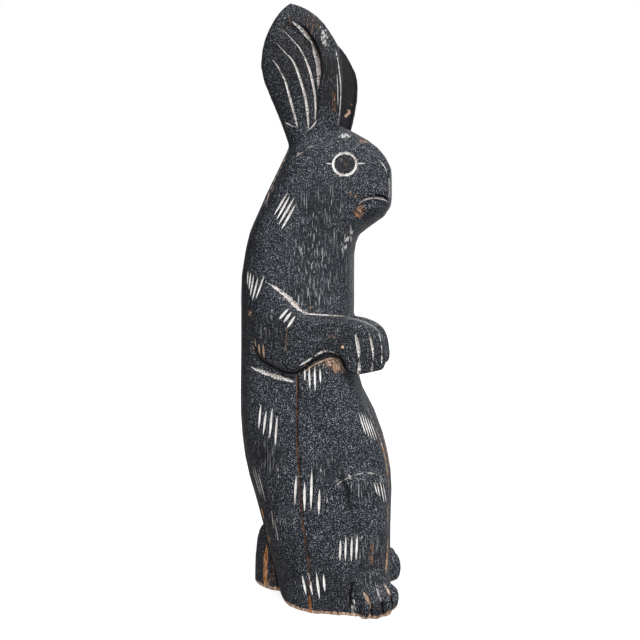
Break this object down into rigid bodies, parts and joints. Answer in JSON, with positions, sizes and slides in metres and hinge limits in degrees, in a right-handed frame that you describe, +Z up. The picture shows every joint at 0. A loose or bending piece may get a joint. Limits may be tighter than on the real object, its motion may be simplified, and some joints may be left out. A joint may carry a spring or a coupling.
{
  "type": "carved wooden rabbit",
  "caption": "Tall upright rabbit carved from one log, with raised ears, folded forepaws, splayed hind toes and worn dark crackled paint; stands on its flat underside.",
  "frame": {"origin": "on the flat underside, below the middle of the body, in the plane between the two sides", "axes": "+Z up along the figure from the ground to the ears, +X the way the rabbit faces, +Y its left side"},
  "size_m": [0.2645, 0.1792, 0.9576],
  "materials": {
    "painted_wood": "worn blue-black paint, finely crackled, over carved softwood, with bare pale wood in the cuts and on the rubbed edges"
  },
  "bodies": {
    "root": {"carved_rabbit": "painted_wood"}
  },
  "joints": []
}
